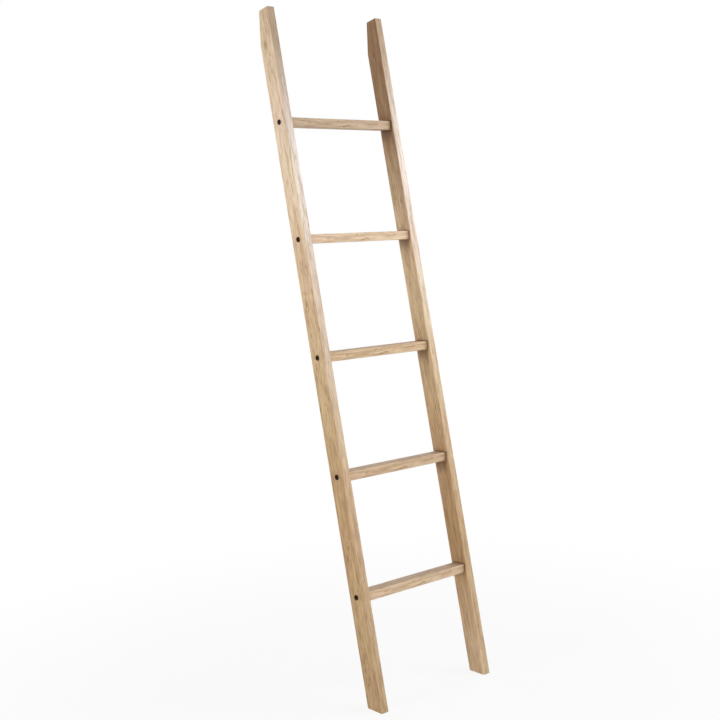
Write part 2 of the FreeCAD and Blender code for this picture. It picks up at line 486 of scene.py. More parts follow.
@dataclass(frozen=True)
class Rings:
    """The tree's rings, as they run through a board: their pith wanders, and they swell and ripple."""

    pith: tuple[float, float]
    width: float = 0.0060
    wander: float = 0.036
    wander_across: Speckle = Speckle(2.2)
    wander_deep: Speckle = Speckle(2.7)
    swell: Speckle = Speckle(26.0, 3.0)
    swell_height: float = 0.012
    ripple: Speckle = Speckle(90.0)
    ripple_height: float = 0.0022
    drawn_out: float = 0.09
    round_knots: float = 0.010

    def year(self, spot: Spot, seed: float, swirl: Number) -> Wire:
        """Grow the rings.

        Args:
            spot: The place on the board.
            seed: What makes this board's rings its own.
            swirl: How far the grain is pushed aside there, round knots.

        Returns:
            The time of year in which the place grew, from 0 to 1.
        """
        nodes = spot.nodes
        log = nodes.vector(spot.across, spot.deep, spot.along * self.drawn_out + seed)
        sway_across = self.wander_across.at(nodes, nodes.vector(seed, 0.0, spot.along)) - 0.5
        sway_deep = self.wander_deep.at(nodes, nodes.vector(0.0, seed, spot.along)) - 0.5
        from_pith = (
            (spot.across - self.pith[0] + sway_across * self.wander) ** 2
            + (spot.deep - self.pith[1] + sway_deep * self.wander) ** 2
        ).root()
        swell = self.swell.at(nodes, log) * self.swell_height
        ripple = self.ripple.at(nodes, log) * self.ripple_height
        return ((from_pith + (swell + ripple) + swirl * self.round_knots) / self.width).fraction()


@dataclass(frozen=True)
class Drift:
    """How the colour of a face drifts from one end of a board to the other: partly the oak's own tone,
    partly painted light and shade, as the lamps fall on that face.
    """

    foot: Colour
    low: Colour
    middle: Colour
    upper: Colour
    top: Colour
    low_at: float = 0.30
    middle_at: float = 0.55
    upper_at: float = 0.76
    top_at: float = 0.97

    def ramp(self, nodes: Nodes, travel: Wire) -> bpy.types.NodeSocket:
        """Add the drift's colour ramp.

        Args:
            nodes: The material's nodes.
            travel: How far along the board a place is, from 0 to 1.

        Returns:
            The colour there.
        """
        stops = [
            (0.0, self.foot),
            (self.low_at, self.low),
            (self.middle_at, self.middle),
            (self.upper_at, self.upper),
            (self.top_at, self.top),
        ]
        return nodes.add("ShaderNodeValToRGB", {"stops": stops}, {0: travel}).out()

    @staticmethod
    def even(colour: Colour) -> "Drift":
        """A colour that stays the same all along."""
        return Drift(colour, colour, colour, colour, colour)


@dataclass(frozen=True)
class Joints:
    """Painted shade and shadow where the rungs meet a stile: darkening in the corners round each rung, and
    the rung's shadow below it.

    The painted shade reaches a spread from each rung, less above and behind it, and the painted shadow
    falls below it. It laps a little under the rung's outline.
    """

    plan: Plan
    side: Side
    # The colour of the painted shade and shadow.
    shade: Colour = (0.26, 0.19, 0.14, 1.0)
    least: float = 0.75
    uneven: float = 0.5
    spread: float = 0.010
    above_squeeze: float = 3.0
    behind_squeeze: float = 2.0
    # How far the rung's painted shadow reaches below it, and how dark it is.
    shadow_below: float = 0.046
    shadow_below_share: float = 0.75
    shadow_below_start: float = 0.004
    lap: float = 0.001
    fade: float = 0.1

    def darkness(self, spot: Spot, fine: Wire) -> Wire:
        """Paint the shade in the corners round the rungs and their shadows below them.

        Args:
            spot: The place on the stile.
            fine: The fine grain there, which makes the shade uneven.

        Returns:
            How dark the painted shade and shadow make the place.
        """
        plan = self.plan
        half_deep, half_high = plan.rung_depth / 2, plan.rung_height / 2
        step = (spot.along - plan.first_rung) / plan.rung_pitch + 0.5
        up = (step.fraction() - 0.5) * plan.rung_pitch
        back = spot.deep - plan.stile_depth / 2
        level = back * math.cos(plan.lean) + up * math.sin(plan.lean)
        plumb = up * math.cos(plan.lean) - back * math.sin(plan.lean)

        ahead = 0.0 - level - half_deep
        behind = (level - half_deep) * self.behind_squeeze
        above = (plumb - half_high) * self.above_squeeze
        beneath = 0.0 - plumb - half_high
        beyond = ahead.at_least(behind).at_least(above).at_least(beneath)
        close = beyond.rise(self.spread, -self.lap)

        # The painted shadow that the rung casts below it.
        beside = level.magnitude() - half_deep
        shadow_beneath = beneath.rise(self.shadow_below, 2 * self.lap) * beside.rise(self.spread, -2 * self.lap)
        shadow_beneath = shadow_beneath * plumb.rise(0.0, -self.shadow_below_start)

        inner_face = plan.clear_width / 2
        inner = (spot.across * -self.side.value).rise(-inner_face - self.lap, -inner_face - self.lap / 2)
        ladder = step.rise(0.5 - self.fade, 0.5) * step.rise(plan.rung_count + self.fade, plan.rung_count)
        corner = close.at_least(shadow_beneath * self.shadow_below_share) * inner * ladder
        return corner * (self.least + fine * self.uneven)


@dataclass(frozen=True)
class Stain:
    """A shade that multiplies the wood's colour, and the values between which it comes in."""

    shade: Colour
    comes_in: Span
    amount: float = 1.0

    def mask(self, value: Wire) -> Wire:
        """How far the shade has come in at a value, from 0 to 1."""
        return value.rise(*self.comes_in)


@dataclass(frozen=True)
class Relief:
    """How much each part of the grain gives to the surface's height, and how deep it is."""

    fibre: float = 0.5
    year: float = 0.22
    pores: float = -0.6
    knots: float = 0.3
    strength: float = 0.5
    depth: float = 0.0004


@dataclass(frozen=True)
class Satin:
    """How rough the satin finish is, and what each part of the grain adds to that."""

    plain: float = 0.50
    pores: float = 0.22
    streaks: float = 0.14
    worn: float = -0.08
    ends: float = 0.36
    specular: float = 0.35


@dataclass(frozen=True)
class Grain:
    """What the grain does at a place on a board, each from 0 to 1."""

    fibre: Wire
    fine: Wire
    streaks: Wire
    flecks: Wire
    broad: Wire
    year: Wire
    early: Wire
    pores: Wire
    knots: Number
    ends: Wire
    worn: Wire


@dataclass(frozen=True)
class Oak:
    """Pale weathered oak, cut from its own place in a log, with the board's grain along its own Z.

    Early wood grows from spring until summer. The colour is the faces' drifting tones, which carry painted
    light and shade, with patches, then the shades of the streaks, the late wood, the pores, the flecks,
    the knots, the end grain, the painted shade and shadow where the rungs meet the stiles, and the worn
    edges, paler partly as a painted highlight, in that order.
    """

    name: str
    origin: Vector
    turn: Euler
    start: float
    end: float
    seed: float
    # Each face's tone along the board, with painted light and shade in it.
    sides: Drift
    front: Drift
    rings: Rings
    knots: tuple[Knot, ...] = ()
    # Painted shade and shadow where the rungs meet the stile.
    joints: Optional[Joints] = None
    fibre: Speckle = Speckle(620.0, 3.0, 0.6, 0.035)
    fine: Speckle = Speckle(250.0, 2.0, 0.5, 0.11)
    streaks: Speckle = Speckle(105.0, 3.0, 0.6, 0.075)
    flecks: Speckle = Speckle(150.0, 1.0, 0.5, 0.22)
    broad: Speckle = Speckle(21.0, 2.0, 0.5, 0.16)
    spring: Span = (0.0, 0.14)
    summer: Span = (1.0, 0.45)
    front_from: Span = (0.35, 0.85)
    patches: Span = (0.35, 0.65)
    pink_patch: Colour = (1.02, 0.99, 0.98, 1.0)
    straw_patch: Colour = (0.98, 1.00, 0.96, 1.0)
    knot_shade: Colour = (0.34, 0.24, 0.17, 1.0)
    dark_streak: Stain = Stain((0.80, 0.76, 0.70, 1.0), (0.50, 0.38))
    pale_streak: Stain = Stain((1.13, 1.15, 1.14, 1.0), (0.50, 0.61))
    late_wood: Stain = Stain((0.80, 0.70, 0.60, 1.0), (0.68, 0.38), 0.7)
    pore: Stain = Stain((0.62, 0.52, 0.42, 1.0), (0.57, 0.66), 0.72)
    fleck: Stain = Stain((0.66, 0.56, 0.46, 1.0), (0.66, 0.78))
    end_grain: Stain = Stain((0.66, 0.58, 0.50, 1.0), (0.55, 0.9))
    # Paler rubbed edges: partly wear, partly a painted highlight.
    arris_wear_and_highlight: Stain = Stain((1.16, 1.18, 1.22, 1.0), (0.30, 0.60))
    streak_share: float = 0.45
    late_pores: float = 0.30
    plain_ends: float = 0.4
    relief: Relief = Relief()
    satin: Satin = Satin()

    def material(self) -> bpy.types.Material:
        """Make the material.

        Returns:
            The material.
        """
        material, nodes = new_material(self.name)
        spot = Spot.on_board(nodes, self.origin, self.turn)
        grain = self.grain(spot)
        relief, satin = self.relief, self.satin
        height = (
            grain.fibre * relief.fibre
            + grain.year * relief.year
            + grain.pores * relief.pores
            + grain.knots * relief.knots
        )
        roughness = (
            satin.plain
            + grain.pores * satin.pores
            + grain.streaks * satin.streaks
            + grain.worn * satin.worn
            + grain.ends * satin.ends
        )
        nodes.finish(
            {
                "Base Color": self.colour(spot, grain),
                "Roughness": roughness,
                "Normal": nodes.bump(height, relief.strength, relief.depth),
                "Specular IOR Level": satin.specular,
            }
        )
        return material

    def grain(self, spot: Spot) -> Grain:
        """Grow the grain.

        Args:
            spot: The place on the board.

        Returns:
            What the grain does there.
        """
        nodes = spot.nodes
        knots, swirl = self.knots_and_swirl(spot)
        year = self.rings.year(spot, self.seed, swirl)
        early = year.rise(*self.spring) * year.rise(*self.summer)
        fibre = self.fibre.at(nodes, spot.vector)
        return Grain(
            fibre=fibre,
            fine=self.fine.at(nodes, spot.vector),
            streaks=self.streaks.at(nodes, spot.vector),
            flecks=self.flecks.at(nodes, spot.vector),
            broad=self.broad.at(nodes, spot.vector),
            year=year,
            early=early,
            pores=self.pore.mask(fibre) * (self.late_pores + early * (1.0 - self.late_pores)),
            knots=knots,
            ends=self.end_grain.mask(nodes.facing(self.turned(0.0, 0.0, 1.0)).magnitude()),
            worn=nodes.worn(),
        )

    def knots_and_swirl(self, spot: Spot) -> tuple[Number, Number]:
        """Grow the knots.

        Args:
            spot: The place on the board.

        Returns:
            How much of the place is knot, and how far the grain is pushed aside there.
        """
        dark: Number = 0.0
        swirl: Number = 0.0
        for knot in self.knots:
            away = knot.radii_away(spot)
            dark = away.rise(*knot.heart) * knot.darkness + dark
            swirl = away.rise(*knot.swirl) + swirl
        return dark, swirl

    def turned(self, x: float, y: float, z: float) -> Vector:
        """Turn a direction as the board is turned.

        Args:
            x: The direction's part across the board.
            y: Its part from the board's front to its back.
            z: Its part along the board.

        Returns:
            The direction in the frame.
        """
        way = Vector((x, y, z))
        way.rotate(self.turn)
        return way

    def colour(self, spot: Spot, grain: Grain) -> bpy.types.NodeSocket:
        """Colour the wood: the faces' drifting tones with their painted light and shade, and the grain,
        the painted shade round the rungs and the paler edges laid over them.

        Args:
            spot: The place on the board.
            grain: What the grain does there.

        Returns:
            The colour.
        """
        nodes = spot.nodes
        travel = (spot.along - self.start) / (self.end - self.start)
        # The fronts take a paler drift of their own than the other faces: a lit copy of the oak, with a
        # painted sheen.
        in_front = nodes.facing(self.turned(0.0, -1.0, 0.0)).rise(*self.front_from)
        colour = nodes.mix(in_front, self.sides.ramp(nodes, travel), self.front.ramp(nodes, travel))
        pink = nodes.tint(colour, self.pink_patch)
        straw = nodes.tint(colour, self.straw_patch)
        colour = nodes.mix(grain.broad.rise(*self.patches), pink, straw)

        lightness = grain.streaks * self.streak_share + grain.fine * (1.0 - self.streak_share)
        late = (1.0 - grain.early) * self.late_wood.mask(grain.streaks)
        rough_ends = self.plain_ends + grain.fibre * (1.0 - self.plain_ends)
        stains: list[tuple[Colour, Number]] = [
            (self.dark_streak.shade, self.dark_streak.mask(lightness)),
            (self.pale_streak.shade, self.pale_streak.mask(lightness)),
            (self.late_wood.shade, late * self.late_wood.amount),
            (self.pore.shade, grain.pores * self.pore.amount),
            (self.fleck.shade, self.fleck.mask(grain.flecks)),
            (self.knot_shade, grain.knots),
            (self.end_grain.shade, grain.ends * rough_ends),
        ]
        # Painted shade in the corners round the rungs, and their painted shadows below them.
        if self.joints:
            stains.append((self.joints.shade, self.joints.darkness(spot, grain.fine)))
        # The worn edges made paler: partly wear, partly a painted highlight.
        stains.append((self.arris_wear_and_highlight.shade, grain.worn * self.arris_wear_and_highlight.mask(grain.broad)))
        for shade, amount in stains:
            colour = nodes.tint(colour, shade, amount)
        return colour


@dataclass(frozen=True)
class Bronze:
    """Dark bronze plating on the bolts, rubbed paler at the rim of the head."""

    name: str = "dark_bronze_plating"
    dark: Colour = srgb(38, 18, 6)
    rubbed: Colour = srgb(122, 84, 58)
    mottle: Speckle = Speckle(900.0, 3.0)
    rubs_off: Span = (0.35, 0.65)
    rub_share: float = 0.6
    plain: float = 0.42
    mottled: float = 0.16
    polished: float = 0.12
    specular: float = 0.08
    bump_strength: float = 0.25
    bump_depth: float = 0.0001

    def material(self) -> bpy.types.Material:
        """Make the material.

        Returns:
            The material.
        """
        material, nodes = new_material(self.name)
        mottle = self.mottle.at(nodes, nodes.place())
        rub = nodes.worn() * mottle.rise(*self.rubs_off)
        nodes.finish(
            {
                "Base Color": nodes.mix(rub * self.rub_share, self.dark, self.rubbed),
                "Roughness": self.plain + mottle * self.mottled - rub * self.polished,
                "Metallic": 0.0,
                "Specular IOR Level": self.specular,
                "Normal": nodes.bump(mottle, self.bump_strength, self.bump_depth),
            }
        )
        return material


@dataclass(frozen=True)
class Zinc:
    """Zinc plating on the threaded inserts."""

    name: str = "zinc_plating"
    bright: Colour = srgb(196, 196, 190)
    dull: Colour = srgb(150, 150, 146)
    mottle: Speckle = Speckle(700.0, 3.0)
    dulls: Span = (0.3, 0.7)
    plain: float = 0.30
    mottled: float = 0.2

    def material(self) -> bpy.types.Material:
        """Make the material.

        Returns:
            The material.
        """
        material, nodes = new_material(self.name)
        mottle = self.mottle.at(nodes, nodes.place())
        nodes.finish(
            {
                "Base Color": nodes.mix(mottle.rise(*self.dulls), self.bright, self.dull),
                "Roughness": self.plain + mottle * self.mottled,
                "Metallic": 1.0,
            }
        )
        return material


# Meshes


def new_object(bm: bmesh.types.BMesh, name: str) -> bpy.types.Object:
    """Put a bmesh in the scene.

    Args:
        bm: The bmesh, which is freed.
        name: The object's name.

    Returns:
        The object, at the origin.
    """
    mesh = bpy.data.meshes.new(name)
    bm.to_mesh(mesh)
    bm.free()
    made = bpy.data.objects.new(name, mesh)
    bpy.context.scene.collection.objects.link(made)
    return made


def new_solid(bm: bmesh.types.BMesh, name: str) -> bpy.types.Object:
    """Put a closed bmesh in the scene, with its faces turned outwards."""
    bmesh.ops.recalc_face_normals(bm, faces=bm.faces)
    return new_object(bm, name)


def finished_piece(
    bm: bmesh.types.BMesh, name: str, cutters: list[bpy.types.Object]
) -> bpy.types.Object:
    """Turn a bmesh into a piece, with holes cut in it and its normals weighted by area.

    Args:
        bm: The bmesh, which is freed.
        name: The piece's name.
        cutters: Closed shapes to cut away, which are deleted.

    Returns:
        The piece, at the origin.
    """
    piece = new_solid(bm, name)
    for cutter in cutters:
        cut = piece.modifiers.new("cut", "BOOLEAN")
        cut.operation = "DIFFERENCE"
        cut.solver = "EXACT"
        cut.object = cutter
    apply_modifiers(piece)
    for cutter in cutters:
        old = cutter.data
        bpy.data.objects.remove(cutter)
        bpy.data.meshes.remove(old)
    for face in piece.data.polygons:
        face.use_smooth = True
    piece.data.set_sharp_from_angle(angle=SMOOTH_UP_TO)
    weighted = piece.modifiers.new("weighted", "WEIGHTED_NORMAL")
    weighted.keep_sharp = True
    apply_modifiers(piece)
    return piece


def apply_modifiers(piece: bpy.types.Object) -> None:
    """Replace a piece's mesh by what its modifiers make of it.

    Args:
        piece: The piece, which loses its modifiers.
    """
    graph = bpy.context.evaluated_depsgraph_get()
    shown = piece.evaluated_get(graph)
    made = bpy.data.meshes.new_from_object(shown, preserve_all_data_layers=True, depsgraph=graph)
    old = piece.data
    piece.modifiers.clear()
    piece.data = made
    made.name = old.name
    bpy.data.meshes.remove(old)


def add_box(bm: bmesh.types.BMesh, low: Vector, high: Vector) -> None:
    """Add a box.

    Args:
        bm: The bmesh to add it to.
        low: Its lowest corner.
        high: Its highest corner.
    """
    middle = Matrix.Translation((low + high) / 2)
    size = Matrix.Diagonal((*(high - low), 1.0))
    bmesh.ops.create_cube(bm, size=1.0, matrix=middle @ size)


def add_rod(bm: bmesh.types.BMesh, start: Vector, end: Vector, radius: float, sides: int = ROUND) -> None:
    """Add a closed rod that runs along X.

    Args:
        bm: The bmesh to add it to.
        start: The middle of one end.
        end: The middle of the other, which differs in X alone.
        radius: Its radius, to its corners.
        sides: How many sides it has.
    """
    turned = Matrix.Rotation(math.pi / 2, 4, "Y")
    middle = Matrix.Translation((start + end) / 2)
    bmesh.ops.create_cone(
        bm,
        cap_ends=True,
        segments=sides,
        radius1=radius,
        radius2=radius,
        depth=abs(end.x - start.x),
        matrix=middle @ turned,
    )


def ease(bm: bmesh.types.BMesh, edges: list[bmesh.types.BMEdge], width: float, segments: int) -> None:
    """Round edges, and mark what is rounded as worn.

    Args:
        bm: The bmesh.
        edges: The edges to round.
        width: How far the rounding reaches on each face.
        segments: How many steps it has.
    """
    layer = bm.verts.layers.float.get(WORN) or bm.verts.layers.float.new(WORN)
    made = bmesh.ops.bevel(
        bm,
        geom=edges,
        offset=width,
        offset_type="OFFSET",
        segments=segments,
        profile=0.5,
        affect="EDGES",
        clamp_overlap=True,
        material=-1,
    )
    for vert in made["verts"]:
        vert[layer] = 1.0


def slice_along(bm: bmesh.types.BMesh, axis: Vector, start: float, end: float, step: float) -> None:
    """Cut rings of edges round a bar.

    Args:
        bm: The bar.
        axis: The direction in which it runs.
        start: Where it starts along that.
        end: Where it ends.
        step: How far apart the rings are.
    """
    cuts = int((end - start) / step)
    for number in range(1, cuts):
        point = axis * (start + number * (end - start) / cuts)
        geometry = bm.verts[:] + bm.edges[:] + bm.faces[:]
        bmesh.ops.bisect_plane(bm, geom=geometry, plane_co=point, plane_no=axis, dist=SAME_PLANE)


@dataclass(frozen=True)
class HandWear:
    """The uneven wear that sanding by hand leaves on rounded edges."""

    depth: float
    seed: float
    seed_way: tuple[float, float, float] = (1.0, 1.7, 0.6)
    waves_per_metre: float = 28.0
    wave_share: float = 0.8
    ripples_per_wave: float = 4.1
    ripple_share: float = 0.4

    def rub(self, bm: bmesh.types.BMesh, centre: Callable[[Vector], Vector]) -> None:
        """Wear a bar where it is marked.

        Args:
            bm: The bar, with its rounded edges marked as worn.
            centre: The point on the bar's axis nearest to a place.
        """
        layer = bm.verts.layers.float.get(WORN)
        own_place = Vector([self.seed * share for share in self.seed_way])
        for vert in bm.verts:
            if vert[layer] < 0.5:
                continue
            place = vert.co * self.waves_per_metre + own_place
            wave = noise.noise(place) * self.wave_share
            ripple = noise.noise(place * self.ripples_per_wave) * self.ripple_share
            inwards = centre(vert.co) - vert.co
            vert.co += inwards.normalized() * self.depth * max(0.0, wave + ripple)


# Sub-assemblies


@dataclass
class Stile:
    """One of the two leaning boards."""

    plan: Plan
    side: Side
    finish: Oak
    wear: float = 0.0005
    ring_step: float = 0.024
    arris_segments: int = 4
    end_segments: int = 2
    upright: float = 0.7
    housing_past: float = 0.010
    bore_past: float = 0.005

    @property
    def node(self) -> str:
        """The name of the stile's node."""
        return f"{self.side.word}_stile"

    def build(self) -> bpy.types.Object:
        """Make the stile and dress it.

        Returns:
            The stile, at its place in the frame.
        """
        low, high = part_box(self.node)
        plan = self.plan
        bm = self.plain_board(low.x, high.x)
        long_edges = [edge for edge in bm.edges if self.runs_up(edge)]
        ease(bm, long_edges, plan.stile_arris, self.arris_segments)
        end_edges = [edge for edge in bm.edges if self.is_on_end(edge)]
        ease(bm, end_edges, plan.end_arris, self.end_segments)
        slice_along(bm, Vector((0.0, 0.0, 1.0)), 0.0, plan.stile_length, self.ring_step)
        middle_x, middle_y = (low.x + high.x) / 2, plan.stile_depth / 2
        wear = HandWear(self.wear, self.finish.seed)
        wear.rub(bm, lambda place: Vector((middle_x, middle_y, place.z)))
        for vert in bm.verts:  # the wear leaves the foot on the floor
            vert.co.z = max(vert.co.z, vert.co.y * plan.foot_slope)
        bmesh.ops.transform(bm, matrix=plan.stile_to_frame, verts=bm.verts)
        piece = finished_piece(bm, f"{self.node}_board", [self.housing_cutter(), self.bolt_cutter()])
        piece.data.materials.append(self.finish.material())
        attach(piece, BODY)
        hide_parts(self.node)
        return piece

    def plain_board(self, low_x: float, high_x: float) -> bmesh.types.BMesh:
        """Saw the board, on its own axes.

        Args:
            low_x: Where its left face is.
            high_x: Where its right face is.

        Returns:
            The board, with sharp edges.
        """
        plan = self.plan
        outline = [
            (0.0, 0.0),
            (plan.stile_depth, plan.stile_depth * plan.foot_slope),
            (plan.stile_depth, plan.plumb_foot),
            (plan.stile_top, plan.stile_length),
            (0.0, plan.stile_length),
        ]
        bm = bmesh.new()
        face = bm.faces.new([bm.verts.new((low_x, deep, up)) for deep, up in outline])
        grown = bmesh.ops.extrude_face_region(bm, geom=[face])
        moved = [item for item in grown["geom"] if isinstance(item, bmesh.types.BMVert)]
        bmesh.ops.translate(bm, verts=moved, vec=(high_x - low_x, 0.0, 0.0))
        bm.normal_update()
        return bm

    def runs_up(self, edge: bmesh.types.BMEdge) -> bool:
        """Whether an edge of the plain board runs up the front, the back or the plumb cut."""
        way = edge.verts[1].co - edge.verts[0].co
        return abs(way.z) > self.upright * way.length

    def is_on_end(self, edge: bmesh.types.BMEdge) -> bool:
        """Find the edges round the foot and the top.

        Args:
            edge: An edge of the board, whose long edges are rounded.

        Returns:
            Whether it lies round an end face, the only kind with more than four corners.
        """
        slope, length = self.plan.foot_slope, self.plan.stile_length
        on_foot = all(abs(vert.co.z - vert.co.y * slope) < SAME_FACE for vert in edge.verts)
        on_top = all(abs(vert.co.z - length) < SAME_FACE for vert in edge.verts)
        return (on_foot or on_top) and any(len(face.verts) > 4 for face in edge.link_faces)

    def housing_cutter(self) -> bpy.types.Object:
        """Shape what is cut out for the rungs' ends.

        Returns:
            The shapes to cut away.
        """
        bm = bmesh.new()
        room = Vector((0.0, self.plan.housing_clearance, self.plan.housing_clearance))
        depth = self.plan.housing_depth + self.housing_past
        for number in self.plan.rung_numbers:
            low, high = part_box(f"rung_{number}")
            if self.side is Side.LEFT:
                near, far = low.x, low.x + depth
            else:
                near, far = high.x - depth, high.x
            add_box(bm, Vector((near, low.y, low.z)) - room, Vector((far, high.y, high.z)) + room)
        return new_solid(bm, "housings")

    def bolt_cutter(self) -> bpy.types.Object:
        """Shape what is bored out for the bolts.

        Returns:
            The rods to cut away.
        """
        bm = bmesh.new()
        low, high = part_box(self.node)
        past = Vector((self.bore_past, 0.0, 0.0))
        for number in self.plan.rung_numbers:
            rung_low, rung_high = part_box(f"rung_{number}")
            centre = (rung_low + rung_high) / 2
            start = Vector((low.x, centre.y, centre.z)) - past
            end = Vector((high.x, centre.y, centre.z)) + past
            add_rod(bm, start, end, self.plan.bolt_hole / 2)
        return new_solid(bm, "bolt_holes")


@dataclass
class Rung:
    """One of the five level bars."""

    plan: Plan
    number: int
    finish: Oak
    wear: float = 0.0004
    ring_step: float = 0.020
    arris_segments: int = 4
    long_edge: float = 0.1
    bore_past: float = 0.004

    @property
    def node(self) -> str:
        """The name of the rung's node."""
        return f"rung_{self.number}"

    def build(self) -> bpy.types.Object:
        """Make the rung and dress it.

        Returns:
            The rung, at its place in the frame.
        """
        low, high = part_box(self.node)
        middle = (low + high) / 2
        bm = bmesh.new()
        add_box(bm, low, high)
        long_edges = [edge for edge in bm.edges if self.runs_along(edge)]
        ease(bm, long_edges, self.plan.rung_arris, self.arris_segments)
        slice_along(bm, Vector((1.0, 0.0, 0.0)), low.x, high.x, self.ring_step)
        wear = HandWear(self.wear, self.finish.seed)
        wear.rub(bm, lambda place: Vector((place.x, middle.y, middle.z)))
        piece = finished_piece(bm, f"{self.node}_bar", [self.bore_cutter(low, high)])
        piece.data.materials.append(self.finish.material())
        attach(piece, BODY)
        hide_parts(self.node)
        return piece

    def runs_along(self, edge: bmesh.types.BMEdge) -> bool:
        """Whether an edge of the plain bar runs from end to end."""
        return abs(edge.verts[1].co.x - edge.verts[0].co.x) > self.long_edge

    def bore_cutter(self, low: Vector, high: Vector) -> bpy.types.Object:
        """Shape what is bored out of the rung's ends for the inserts.

        Args:
            low: The rung's lowest corner.
            high: Its highest corner.

        Returns:
            The shape to cut away.
        """
        bm = bmesh.new()
        centre = (low + high) / 2
        for end, inwards in ((low.x, 1), (high.x, -1)):
            start = Vector((end - inwards * self.bore_past, centre.y, centre.z))
            bottom = Vector((end + inwards * self.plan.insert_bore_depth, centre.y, centre.z))
            add_rod(bm, start, bottom, self.plan.insert_bore / 2)
        return new_solid(bm, "bores")


@dataclass
class Bolt:
    """A bolt with a wide flat head, slightly crowned and rounded at its rim, and a hexagon socket.

    The rim's middle and its wear lie so many rims deep and so many in from the head's edge.
    """

    side: Side
    number: int
    metal: bpy.types.Material
    head_height: float = 0.0022
    face_share: float = 0.72
    rim: float = 0.0009
    rim_middle_deep: float = 0.35
    rim_middle_in: float = 0.3
    rim_worn_deep: float = 1.5
    rim_worn_in: float = 0.5
    crown: float = 0.0003
    shank_radius: float = 0.003
    tip: float = 0.0008
    key_width: float = 0.004
    key_depth: float = 0.0035
    key_past: float = 0.001
    sides: int = 48

    @property
    def node(self) -> str:
        """The name of the bolt's node."""
        return f"{self.side.word}_bolt_{self.number}"

    @property
    def inwards(self) -> int:
        """The sign along X from the head to the tip."""
        return -self.side.value

    def build(self) -> bpy.types.Object:
        """Make the bolt and dress it.

        Returns:
            The bolt, at its place in the frame.
        """
        low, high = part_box(self.node)
        centre = (low + high) / 2
        outer = low.x if self.side is Side.LEFT else high.x
        head_radius = (high.z - low.z) / 2
        top = Vector((outer, centre.y, centre.z))
        bm = bmesh.new()
        verts = [
            bm.verts.new((outer + self.inwards * deep, centre.y, centre.z + radius))
            for deep, radius in self.profile(head_radius, high.x - low.x)
        ]
        edges = [bm.edges.new(pair) for pair in zip(verts, verts[1:])]
        bmesh.ops.spin(
            bm,
            geom=verts + edges,
            cent=top,
            axis=(1.0, 0.0, 0.0),
            angle=math.tau,
            steps=self.sides,
            use_merge=True,
        )
        bmesh.ops.remove_doubles(bm, verts=bm.verts, dist=SAME_POINT)
        bmesh.ops.holes_fill(bm, edges=bm.edges[:], sides=self.sides)
        self.mark_rim(bm, top, head_radius)
        piece = finished_piece(bm, f"{self.node}_screw", [self.key_cutter(top)])
        piece.data.materials.append(self.metal)
        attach(piece, BODY)
        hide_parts(self.node)
        return piece

    def profile(self, head_radius: float, length: float) -> list[tuple[float, float]]:
        """Draw the bolt's outline, from the flat of its head to its tip.

        Args:
            head_radius: The head's radius.
            length: The bolt's length over all.

        Returns:
            How deep each point lies, and how far from the axis.
        """
        middle_deep, middle_in = self.rim * self.rim_middle_deep, self.rim * self.rim_middle_in
        return [
            (0.0, head_radius * self.face_share),
            (self.crown, head_radius - self.rim),
            (self.crown + middle_deep, head_radius - middle_in),
            (self.crown + self.rim, head_radius),
            (self.head_height, head_radius),
            (self.head_height, self.shank_radius),
            (length - self.tip, self.shank_radius),
            (length, self.shank_radius - self.tip),
            (length, 0.0),
        ]

    def mark_rim(self, bm: bmesh.types.BMesh, top: Vector, head_radius: float) -> None:
        """Mark the rim of the head as worn.

        Args:
            bm: The bolt.
            top: The middle of its head.
            head_radius: The head's radius.
        """
        layer = bm.verts.layers.float.new(WORN)
        worn_from, worn_to = head_radius - self.rim * self.rim_worn_in, self.rim * self.rim_worn_deep
        for vert in bm.verts:
            radius = math.hypot(vert.co.y - top.y, vert.co.z - top.z)
            deep = (vert.co.x - top.x) * self.inwards
            vert[layer] = 1.0 if radius > worn_from and deep < worn_to else 0.0

    def key_cutter(self, top: Vector) -> bpy.types.Object:
        """Shape what is cut out of the head for the key.

        Args:
            top: The middle of the bolt's head.

        Returns:
            The shape to cut away.
        """
        bm = bmesh.new()
        start = Vector((top.x - self.inwards * self.key_past, top.y, top.z))
        end = Vector((top.x + self.inwards * self.key_depth, top.y, top.z))
        add_rod(bm, start, end, self.key_width / math.sqrt(3), HEXAGON)
        return new_solid(bm, "key")


@dataclass
class Insert:
    """A threaded insert, which keeps its node."""

    side: Side
    number: int
    metal: bpy.types.Material

    @property
    def node(self) -> str:
        """The name of the insert's node."""
        return f"{self.side.word}_insert_{self.number}"

    def dress(self, nodes: dict[str, bpy.types.Object]) -> bpy.types.Object:
        """Give the node its metal.

        Args:
            nodes: The frame's nodes, by name.

        Returns:
            The node.
        """
        piece = nodes[self.node]
        for place in piece.material_slots:
            place.material = self.metal
        return piece


@dataclass(frozen=True)
class Cut:
    """What a stile's oak has of its own: its place in the log and its knots, with its faces' tones, which
    carry painted light and shade.
    """

    seed: float
    pith: tuple[float, float]
    knots: tuple[Knot, ...]
    sides: Drift
    front: Drift


